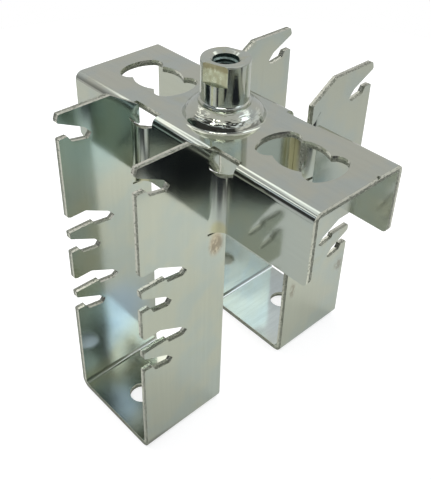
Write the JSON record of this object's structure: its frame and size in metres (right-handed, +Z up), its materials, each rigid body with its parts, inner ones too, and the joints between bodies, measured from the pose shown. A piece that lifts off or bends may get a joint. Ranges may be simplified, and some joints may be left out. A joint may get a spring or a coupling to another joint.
{
  "type": "strut cross connector",
  "caption": "Zinc-plated connector that joins crossing lengths of strut: an inverted channel with a threaded boss, and a deep notched U-bracket on each side.",
  "frame": {"origin": "midway between the two U-brackets, on the boss's axis, at the level of the brackets' undersides", "axes": "+X along the channel, +Y across it towards the rear bracket, +Z up out of the boss"},
  "size_m": [0.132, 0.1204, 0.1514],
  "materials": {
    "zinc_plated_sheet": "bright zinc plate on folded sheet steel, softly mirror-like, with duller sheared edges",
    "zinc_plated_boss": "bright zinc plate on a turned steel boss, mirror-like"
  },
  "bodies": {
    "root": {"channel": "zinc_plated_sheet", "front_bracket": "zinc_plated_sheet", "rear_bracket": "zinc_plated_sheet", "threaded_boss": "zinc_plated_boss"}
  },
  "joints": []
}
